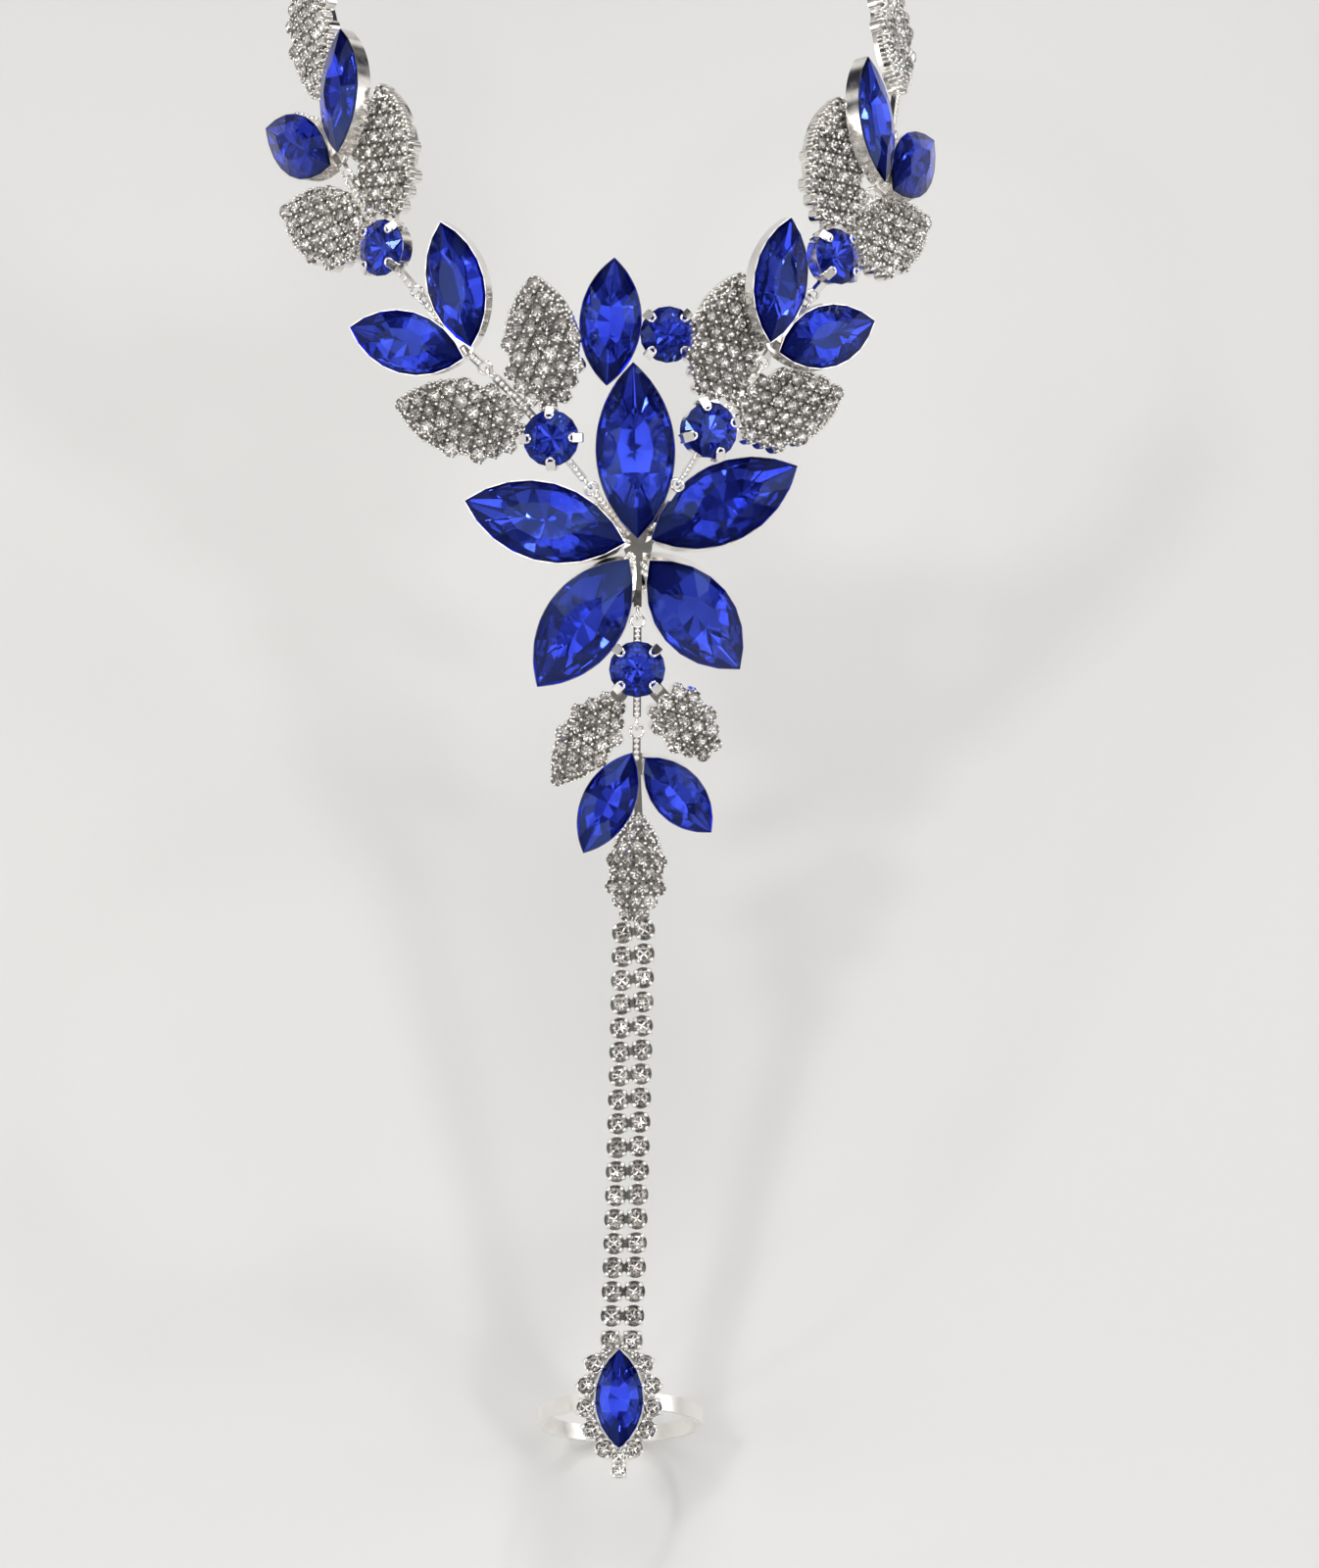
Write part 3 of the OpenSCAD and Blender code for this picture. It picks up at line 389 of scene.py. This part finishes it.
for node in round_nodes:
    seat, radius, crown = round_seats[node]
    first = claw_angle(seat, radius, crown, node_points(cup_of[node]))
    corners = []
    facets = []
    for k in range(4):
        turn = Matrix.Rotation(first + k * math.pi / 2, 4, "Z")
        wire_corners, wire_facets = tube(folded_claw(radius, crown), claw_wire)
        facets += [tuple(len(corners) + i for i in facet) for facet in wire_facets]
        corners += [seat @ turn @ c for c in wire_corners]
    claws = add_piece(node + "_claws", corners, facets, [plated], smooth=True)

# The small clear stones of the chain and of the toe plate are foiled glass brilliants about 2 mm
# across. Each sits in a cup whose four beads are pressed down over its edge.
clear_glass = glass("clear_glass", (0.93, 0.94, 0.95, 1), (0.99, 0.99, 0.99, 1), 1.62, (1, 1, 1, 1))
clear_foil = foil("clear_stone_foil", (0.50, 0.47, 0.44, 1), (0.96, 0.94, 0.91, 1), 0.03, 0.93, 420)


def loose_stones(node):
    """The corners of each loose stone of a CAD node, which touch no other."""
    bm = bmesh.new()
    bm.from_mesh(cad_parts[node].data)
    bmesh.ops.remove_doubles(bm, verts=bm.verts, dist=1e-7)
    left = set(bm.verts)
    stones = []
    while left:
        # The group grows while the loop runs, until it has no neighbour left.
        group = [left.pop()]
        for corner in group:
            for edge in corner.link_edges:
                other = edge.other_vert(corner)
                if other in left:
                    left.remove(other)
                    group.append(other)
        stones.append(np.array([corner.co[:] for corner in group]))
    bm.free()
    return sorted(stones, key=lambda s: tuple(np.round(s.mean(axis=0), 6)))


class Gathered:
    """Corners, facets and materials by number of many small parts that are joined into one piece."""

    def __init__(self):
        self.corners = []
        self.facets = []
        self.which = []

    def add(self, corners, facets, seat, which):
        start = len(self.corners)
        self.corners += [seat @ Vector(c) for c in corners]
        self.facets += [tuple(start + i for i in facet) for facet in facets]
        self.which += [which] * len(facets)


def add_brilliant(parts, seat, radius, crown, depth, tilt, dice):
    """A small brilliant, turned and tilted a little by hand as all such stones are."""
    corners, crown_facets, back_facets = cut_facets(
        round_outline(radius), mains=8, crown=crown, depth=depth, girdle=0.08 * radius, table=0.55,
        star=0.78, lower=0.45, keel=0)
    lean = Matrix.Rotation(math.radians(dice.uniform(-tilt, tilt)), 4, "X")
    lean = lean @ Matrix.Rotation(math.radians(dice.uniform(-tilt, tilt)), 4, "Y")
    placed = seat @ lean @ Matrix.Rotation(dice.uniform(0, math.pi), 4, "Z")
    parts.add(corners, crown_facets, placed, 0)
    parts.add(corners, back_facets, placed, 1)


def bead(radius, height, sides=8, rings=3):
    """A round-headed post that stands on z = 0."""
    corners = []
    for z in [0.0] + [height - radius + radius * math.sin(math.pi / 2 * i / rings) for i in range(rings)]:
        over = max(0.0, (z - height + radius) / radius)
        reach = radius * math.sqrt(max(0.0, 1 - over * over))
        for k in range(sides):
            angle = 2 * math.pi * k / sides
            corners.append((reach * math.cos(angle), reach * math.sin(angle), z))
    facets = []
    for i in range(rings):
        for k in range(sides):
            a = i * sides + k
            b = i * sides + (k + 1) % sides
            facets.append((a, b, b + sides, a + sides))
    corners.append((0, 0, height))
    for k in range(sides):
        facets.append((rings * sides + k, rings * sides + (k + 1) % sides, len(corners) - 1))
    return corners, facets


bead_lean = math.radians(-8)


def add_beads(metal, seat, directions, distance, foot, radius, height):
    """Beads round a small stone, each leaning in over its edge."""
    corners, facets = bead(radius, height)
    for angle in directions:
        out = Matrix.Rotation(angle, 4, "Z") @ Matrix.Translation((distance, 0, foot))
        metal.add(corners, facets, seat @ out @ Matrix.Rotation(bead_lean, 4, "Y"), 0)


def cup_wall(inner, outer, foot, height, sides=18):
    """A thin tapered wall from z = foot to z = height round a small stone."""
    corners = []
    for reach, z in ((outer * 0.97, foot), (outer, height), (inner, height), (inner, foot)):
        for k in range(sides):
            angle = 2 * math.pi * k / sides
            corners.append((reach * math.cos(angle), reach * math.sin(angle), z))
    facets = []
    for i in range(3):
        for k in range(sides):
            a = i * sides + k
            b = i * sides + (k + 1) % sides
            facets.append((a, b, b + sides, a + sides))
    return corners, facets


def turned_to(seat, target):
    """The same seat, with X turned towards a point."""
    local = seat.inverted() @ Vector(target)
    return seat @ Matrix.Rotation(math.atan2(local.y, local.x), 4, "Z")


quarter_turns = [math.pi / 4 + math.pi / 2 * k for k in range(4)]
stone_growth = 1.06
stone_tilt = 5.0
bead_gaps = {"chain_stones": 0.14 * mm, "halo_stones": 0.12 * mm}
bead_foot = -0.7 * mm
bead_radius = 0.32 * mm
bead_height = 1.25 * mm
halo_shift = 0.12 * mm
wall_inside = 0.02 * mm
wall_outside = 0.08 * mm
wall_foot = -1.2 * mm
wall_top = 0.06 * mm
dice = random.Random(7)
for node, toward in (("chain_stones", "neighbour"), ("halo_stones", "middle")):
    groups = loose_stones(node)
    seats = [stone_seat(group) for group in groups]
    places = [seat.translation for seat, *_ in seats]
    middle = sum(places, Vector()) / len(places)
    stones = Gathered()
    beads = Gathered()
    for i, (seat, radius, _, crown, depth) in enumerate(seats):
        nearest = min((p for p in places if p is not places[i]), key=lambda p: (p - places[i]).length)
        seat = turned_to(seat, nearest if toward == "neighbour" else middle)
        radius *= stone_growth
        if node == "halo_stones":
            seat = seat @ Matrix.Translation((-halo_shift, 0, 0))
            wall = cup_wall(radius - wall_inside, radius + wall_outside, wall_foot, wall_top)
            beads.add(*wall, seat, 0)
        add_brilliant(stones, seat, radius, crown, depth, stone_tilt, dice)
        bead_reach = radius + bead_gaps[node]
        add_beads(beads, seat, quarter_turns, bead_reach, bead_foot, bead_radius, bead_height)
    brilliants = add_piece(node + "_cut", stones.corners, stones.facets, [clear_glass, clear_foil],
                           stones.which)
    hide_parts(node)
    holders = add_piece(node + "_beads", beads.corners, beads.facets, [plated], smooth=True)

# Small grains of the same plated metal are raised on the toe plate, wherever it shows between its
# cups, its tray and the chain's last cups. They lie in rows, like the holes of a honeycomb.
grain_pitch = 0.47 * mm
grain_radius = 0.23 * mm
grain_height = 1.4 * mm
grain_foot = -0.9 * mm
row_share = 0.87
cup_clearance = 1.30 * mm
rows_each_way = 19
plate_seat, half_length, half_width, _, _ = stone_seat(node_points("toe_marquise"))
plate_edge = marquise_outline(half_length, half_width, 1.5 * mm)
tray_edge = marquise_outline(half_length, half_width, 0.62 * mm)
cup_middles = []
for node in ("chain_stones", "halo_stones"):
    for group in loose_stones(node):
        cup_middles.append((plate_seat.inverted() @ stone_seat(group)[0].translation)[:2])


def inside(outline, x, y):
    """Whether a point lies within an outline."""
    around = [outline(2 * math.pi * k / 96) for k in range(96)]
    sides = zip(around, around[1:] + around[:1])
    turns = [(b[0] - a[0]) * (y - a[1]) - (b[1] - a[1]) * (x - a[0]) for a, b in sides]
    return all(turn < 0 for turn in turns) or all(turn > 0 for turn in turns)


grains = Gathered()
for row in range(-rows_each_way, rows_each_way + 1):
    for column in range(-rows_each_way, rows_each_way + 1):
        x = (column + row % 2 / 2) * grain_pitch
        y = row * grain_pitch * row_share
        clear = min(math.hypot(x - cup[0], y - cup[1]) for cup in cup_middles) > cup_clearance
        if clear and inside(plate_edge, x, y) and not inside(tray_edge, x, y):
            foot = plate_seat @ Matrix.Translation((x, y, grain_foot))
            grains.add(*bead(grain_radius, grain_height), foot, 0)
plate_grains = add_piece("toe_plate_grains", grains.corners, grains.facets, [plated], smooth=True)

# The leaves are fields of small cups, packed like a honeycomb and soldered to a plate. Each cup gets a thin
# wall, a clear brilliant, and beads in the gaps, which hold two or three stones at once. The walls get a
# dark plate, which is painted shade for the gaps between the stones.
wide_cup = 0.975 * mm
narrow_cup = 0.925 * mm
cup_gap = 0.05 * mm
cup_height = 0.9 * mm
stone_rise = 0.36 * mm
leaf_cups = {"front_setting": wide_cup, "left_spray": wide_cup, "right_spray": wide_cup,
             "left_end_leaf": wide_cup, "right_end_leaf": wide_cup, "drop_spray": narrow_cup,
             "drop_pair_setting": narrow_cup}
flat_tolerance = 0.004 * mm


def flat_patches(node):
    """Area, normal and corners of each flat patch larger than a square millimetre on a CAD node."""
    bm = bmesh.new()
    bm.from_mesh(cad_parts[node].data)
    bmesh.ops.remove_doubles(bm, verts=bm.verts, dist=1e-7)
    left = set(bm.faces)
    patches = []
    for seed in sorted(bm.faces, key=lambda facet: -facet.calc_area()):
        if seed not in left:
            continue
        left.remove(seed)
        patch = [seed]
        for facet in patch:
            for edge in facet.edges:
                for other in edge.link_faces:
                    if other in left and other.normal.dot(seed.normal) > 0.999:
                        left.remove(other)
                        patch.append(other)
        area = sum(facet.calc_area() for facet in patch)
        if area > mm**2:
            corners = np.array(list({tuple(corner.co) for facet in patch for corner in facet.verts}))
            patches.append((area, seed.normal.copy(), corners))
    bm.free()
    return patches


def cup_tops(node, radius):
    """Middle and face of the flat round cup tops of that radius on a CAD node, where they are whole."""
    tops = []
    for area, normal, rim in flat_patches(node):
        if not 0.7 < area / (math.pi * radius**2) < 1.02:
            continue
        middle = rim.mean(axis=0)
        flat = rim - middle
        across = np.linalg.svd(flat, full_matrices=False)[2][:2]
        flat = flat @ across.T
        fitted = np.linalg.lstsq(np.c_[2 * flat, np.ones(len(flat))], (flat**2).sum(axis=1), rcond=None)[0]
        middle = middle + fitted[:2] @ across
        reach = np.linalg.norm(rim - middle, axis=1)
        if reach.max() < radius * 1.03 and np.median(reach) > radius * 0.97:
            tops.append((Vector(middle), normal))
    return sorted(tops, key=lambda top: tuple(np.round(top[0], 7)))


def split_leaves(tops):
    """The cup tops of each leaf: those that lie in one plane."""
    leaves = []
    for middle, normal in tops:
        for leaf in leaves:
            if leaf[0][1].dot(normal) > 0.9999 and abs((leaf[0][0] - middle).dot(normal)) < 0.05 * mm:
                leaf.append((middle, normal))
                break
        else:
            leaves.append([(middle, normal)])
    return [leaf for leaf in leaves if len(leaf) > 2]


def leaf_axes(leaf):
    """The turn of a leaf: X from one cup to the next and Z out of its face."""
    middle, normal = leaf[0]
    nearest = min((place for place, _ in leaf[1:]), key=lambda place: (place - middle).length)
    along = (nearest - middle).normalized()
    return Matrix((along, normal.cross(along), normal)).transposed().to_4x4()


def leaf_places(leaf, axes, points, radius, pitch):
    """All cup middles of a leaf: its whole tops, and the ones that touch something and are cut."""
    fewest_corners = 7
    normal = np.array(axes.col[2][:3])
    level = points[np.abs((points - np.array(leaf[0][0])) @ normal) < flat_tolerance]
    places = [place for place, _ in leaf]
    for place in places:
        for k in range(6):
            other = place + axes @ (Matrix.Rotation(math.pi / 3 * k, 4, "Z") @ Vector((pitch, 0, 0)))
            if min((other - known).length for known in places) < pitch / 2:
                continue
            reach = np.linalg.norm(level - np.array(other), axis=1)
            if (np.abs(reach - radius) < radius * 0.01).sum() >= fewest_corners:
                places.append(other)
    return places


def add_edge_beads(metal, points, edges, leaf_place, axes, places, radius):
    """Small beads along the rim of a leaf's plate, wherever it shows between the cups."""
    edge_bead_radius = 0.25 * mm
    edge_bead_height = cup_height + 0.28 * mm
    edge_bead_pitch = 0.46 * mm
    edge_step = 0.25 * mm
    from_edge = 0.1 * mm
    to_leaf = (Matrix.Translation(leaf_place) @ axes).inverted()
    local = points @ np.array(to_leaf.to_3x3()).T + np.array(to_leaf.translation)
    cups = np.array([(to_leaf @ place)[:2] for place in places])
    set_beads = []
    for a, b in edges:
        start, end = local[a], local[b]
        if max(abs(start[2] + cup_height), abs(end[2] + cup_height)) > flat_tolerance:
            continue
        steps = max(1, round(np.linalg.norm(end - start) / edge_step))
        for i in range(steps + 1):
            spot = (start + (end - start) * i / steps)[:2]
            reach = np.linalg.norm(cups - spot, axis=1)
            nearest = cups[reach.argmin()]
            if not radius * 1.04 < reach.min() < radius * 1.9:
                continue
            inward = spot + (nearest - spot) / reach.min() * from_edge
            if any(np.hypot(*(inward - other)) < edge_bead_pitch for other in set_beads):
                continue
            set_beads.append(inward)
            foot = Matrix.Translation(leaf_place) @ axes @ Matrix.Translation((*inward, -cup_height))
            metal.add(*bead(edge_bead_radius, edge_bead_height), foot, 0)


# A dark plate for the leaf cup walls: painted shade, standing for the shade that falls in the gaps between
# the small stones.
gap_shade_plate = silver_plate("painted_gap_shade_plate", 0.25, 0.40, (0.13, 0.12, 0.11, 1),
                          (0.36, 0.34, 0.31, 1), 400)
leaf_wall = 0.07 * mm
leaf_wall_top = stone_rise + 0.02 * mm
leaf_crown = 0.38 * mm
leaf_depth = 0.40 * mm
leaf_tilt = 12.0
gap_bead_radius = 0.26 * mm
gap_bead_foot = 0.4 * mm
gap_bead_height = gap_bead_foot + stone_rise + 0.22 * mm
for node, cup_radius in leaf_cups.items():
    pitch = 2 * (cup_radius + cup_gap)
    points = node_corners(node)
    edges = [tuple(edge.vertices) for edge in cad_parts[node].data.edges]
    for number, leaf in enumerate(split_leaves(cup_tops(node, cup_radius)), 1):
        stones = Gathered()
        metal = Gathered()
        axes = leaf_axes(leaf)
        places = leaf_places(leaf, axes, points, cup_radius, pitch)
        wall_corners, wall_facets = cup_wall(cup_radius - leaf_wall, cup_radius, 0.0, leaf_wall_top)
        held = []
        for middle in places:
            seat = Matrix.Translation(middle) @ axes
            # Material 1 is the dark plate: painted shade in the gaps between the stones.
            metal.add(wall_corners, wall_facets, seat, 1)
            raised = seat @ Matrix.Translation((0, 0, stone_rise))
            add_brilliant(stones, raised, cup_radius - cup_gap, leaf_crown, leaf_depth, leaf_tilt, dice)
            for k in range(6):
                angle = math.pi / 6 + math.pi / 3 * k
                gap = seat @ (Matrix.Rotation(angle, 4, "Z") @ Vector((pitch / math.sqrt(3), 0, 0)))
                sharing = sum((gap - p).length < pitch * 0.7 for p in places)
                if sharing < 3:
                    add_beads(metal, seat, [angle], cup_radius - 0.02 * mm, -0.3 * mm, 0.22 * mm, 0.9 * mm)
                elif all((gap - other).length > 0.5 * mm for other in held):
                    held.append(gap)
                    post = Matrix.Translation(gap) @ axes @ Matrix.Translation((0, 0, -gap_bead_foot))
                    metal.add(*bead(gap_bead_radius, gap_bead_height), post, 0)
        add_edge_beads(metal, points, edges, leaf[0][0], axes, places, cup_radius)
        name = f"{node}_leaf_{number}"
        brilliants = add_piece(name + "_stones", stones.corners, stones.facets, [clear_glass, clear_foil],
                               stones.which)
        cups = add_piece(name + "_cups", metal.corners, metal.facets, [plated, gap_shade_plate], metal.which,
                         smooth=True)

# The flat bars between the settings are not plain: a row of round grains, soldered on side by side,
# runs down the face of each, so that they look like beaded wire.
narrowest_bar = 0.95 * mm
widest_bar = 1.28 * mm
shortest_bar = 1.6 * mm
least_fill = 0.64
bar_grain_radius = 0.37 * mm
bar_grain_height = 0.30 * mm
bar_grain_sink = 0.1 * mm
bar_grains = Gathered()
for node in metal_nodes:
    if node in ("chain_cups", "clasp", "toe_ring") or node.endswith("back_chain"):
        continue
    for area, normal, corners in flat_patches(node):
        middle = corners.mean(axis=0)
        spread = corners - middle
        along = np.linalg.svd(spread, full_matrices=False)[2][0]
        across = np.cross(np.array(normal), along)
        length = np.ptp(spread @ along)
        width = np.ptp(spread @ across)
        if not narrowest_bar < width < widest_bar or length < shortest_bar:
            continue
        if normal.z < 0 or area < least_fill * width * length:
            continue
        middle += along * (np.max(spread @ along) + np.min(spread @ along)) / 2
        middle += across * (np.max(spread @ across) + np.min(spread @ across)) / 2
        axes = Matrix((along, across, normal)).transposed().to_4x4()
        steps = round((length - 2 * bar_grain_radius) / (2 * bar_grain_radius))
        for i in range(steps + 1):
            x = (i - steps / 2) * (length - 2 * bar_grain_radius) / steps
            foot = Matrix.Translation(middle) @ axes @ Matrix.Translation((x, 0, -bar_grain_sink))
            bar_grains.add(*bead(bar_grain_radius, bar_grain_height + bar_grain_sink, 12), foot, 0)
beaded_bars = add_piece("bar_grains", bar_grains.corners, bar_grains.facets, [plated], smooth=True)

# The jewel is held up over a plain pale floor, in the soft light of a studio: a large lamp above,
# one at each side and one in front. Four small hard spots make the facets and beads sparkle.
floor_z = cad_box[0][2] - 0.5 * mm
floor_reach = 3.0
floor_ways = ((-1, -1), (1, -1), (1, 1), (-1, 1))
floor_corners = [(x * floor_reach, y * floor_reach, floor_z) for x, y in floor_ways]
floor = bpy.data.objects.new("floor", bpy.data.meshes.new("floor"))
floor.data.from_pydata(floor_corners, [], [(0, 1, 2, 3)])
bpy.context.scene.collection.objects.link(floor)
pale, nodes, links, shader = surface("pale_floor", roughness=0.6)
floor_tone = mottle(nodes, links, 3.0, (0.67, 0.67, 0.67, 1), (0.71, 0.71, 0.70, 1))
links.new(floor_tone, shader.inputs["Base Color"])
floor.data.materials.append(pale)


def add_lamp(name, place, size, power, colour=(1, 1, 1)):
    """A square studio lamp that faces the middle of the jewel."""
    lamp = bpy.data.objects.new(name, bpy.data.lights.new(name, "AREA"))
    lamp.data.shape = "RECTANGLE"
    lamp.data.size, lamp.data.size_y = size
    lamp.data.energy = power
    lamp.data.color = colour
    lamp.location = place
    middle = Vector((0, -0.06, -0.04))
    lamp.rotation_euler = (middle - lamp.location).to_track_quat("-Z", "Y").to_euler()
    bpy.context.scene.collection.objects.link(lamp)


spot_size = (0.13, 0.13)
add_lamp("lamp_above", (0.0, 0.25, 1.1), (1.0, 0.8), 4.2)
add_lamp("lamp_left", (-0.9, -0.45, 0.55), (0.6, 0.8), 2.6, (1.0, 0.97, 0.93))
add_lamp("lamp_right", (0.95, -0.2, 0.5), (0.5, 0.8), 2.0)
add_lamp("lamp_front", (0.25, -1.1, 0.35), (0.5, 0.4), 1.2)
add_lamp("spot_left", (-0.45, -0.35, 1.0), spot_size, 2.0)
add_lamp("spot_right", (0.55, -0.7, 0.8), spot_size, 2.0)
add_lamp("spot_behind", (0.3, 0.75, 0.85), spot_size, 2.0)
add_lamp("spot_low", (-0.75, -0.95, 0.25), spot_size, 1.5)

# The walls of the room are pale with darker and brighter places, which the facets and the plate
# mirror. A dark curtain hangs behind the camera and a little above it, so the stones look deep.
curtain_side = (0.02, -0.58, 0.81)
world = bpy.data.worlds.new("studio")
bpy.context.scene.world = world
world.use_nodes = True
nodes = world.node_tree.nodes
links = world.node_tree.links
sky = nodes["Background"]
way = nodes.new("ShaderNodeTexCoord")
walls = nodes.new("ShaderNodeTexNoise")
walls.inputs["Scale"].default_value = 2.4
walls.inputs["Detail"].default_value = 1.0
shades = nodes.new("ShaderNodeValToRGB")
shades.color_ramp.elements.new(0.46).color = (0.03, 0.03, 0.04, 1)
shades.color_ramp.elements.new(0.51).color = (0.30, 0.29, 0.28, 1)
shades.color_ramp.elements.new(0.57).color = (0.90, 0.88, 0.85, 1)
shades.color_ramp.elements[0].color = (0.03, 0.03, 0.04, 1)
shades.color_ramp.elements[-1].color = (1, 0.98, 0.94, 1)
curtain = nodes.new("ShaderNodeVectorMath")
curtain.operation = "DOT_PRODUCT"
curtain.inputs[1].default_value = curtain_side
fade = nodes.new("ShaderNodeMapRange")
fade.inputs["From Min"].default_value = 0.88
fade.inputs["From Max"].default_value = 0.96
fade.inputs["To Min"].default_value = 0.95
fade.inputs["To Max"].default_value = 0.16
links.new(way.outputs["Generated"], walls.inputs["Vector"])
links.new(way.outputs["Generated"], curtain.inputs[0])
links.new(walls.outputs["Fac"], shades.inputs["Fac"])
links.new(shades.outputs["Color"], sky.inputs["Color"])
links.new(curtain.outputs["Value"], fade.inputs["Value"])
links.new(fade.outputs["Result"], sky.inputs["Strength"])
bpy.context.scene.view_settings.view_transform = "Standard"
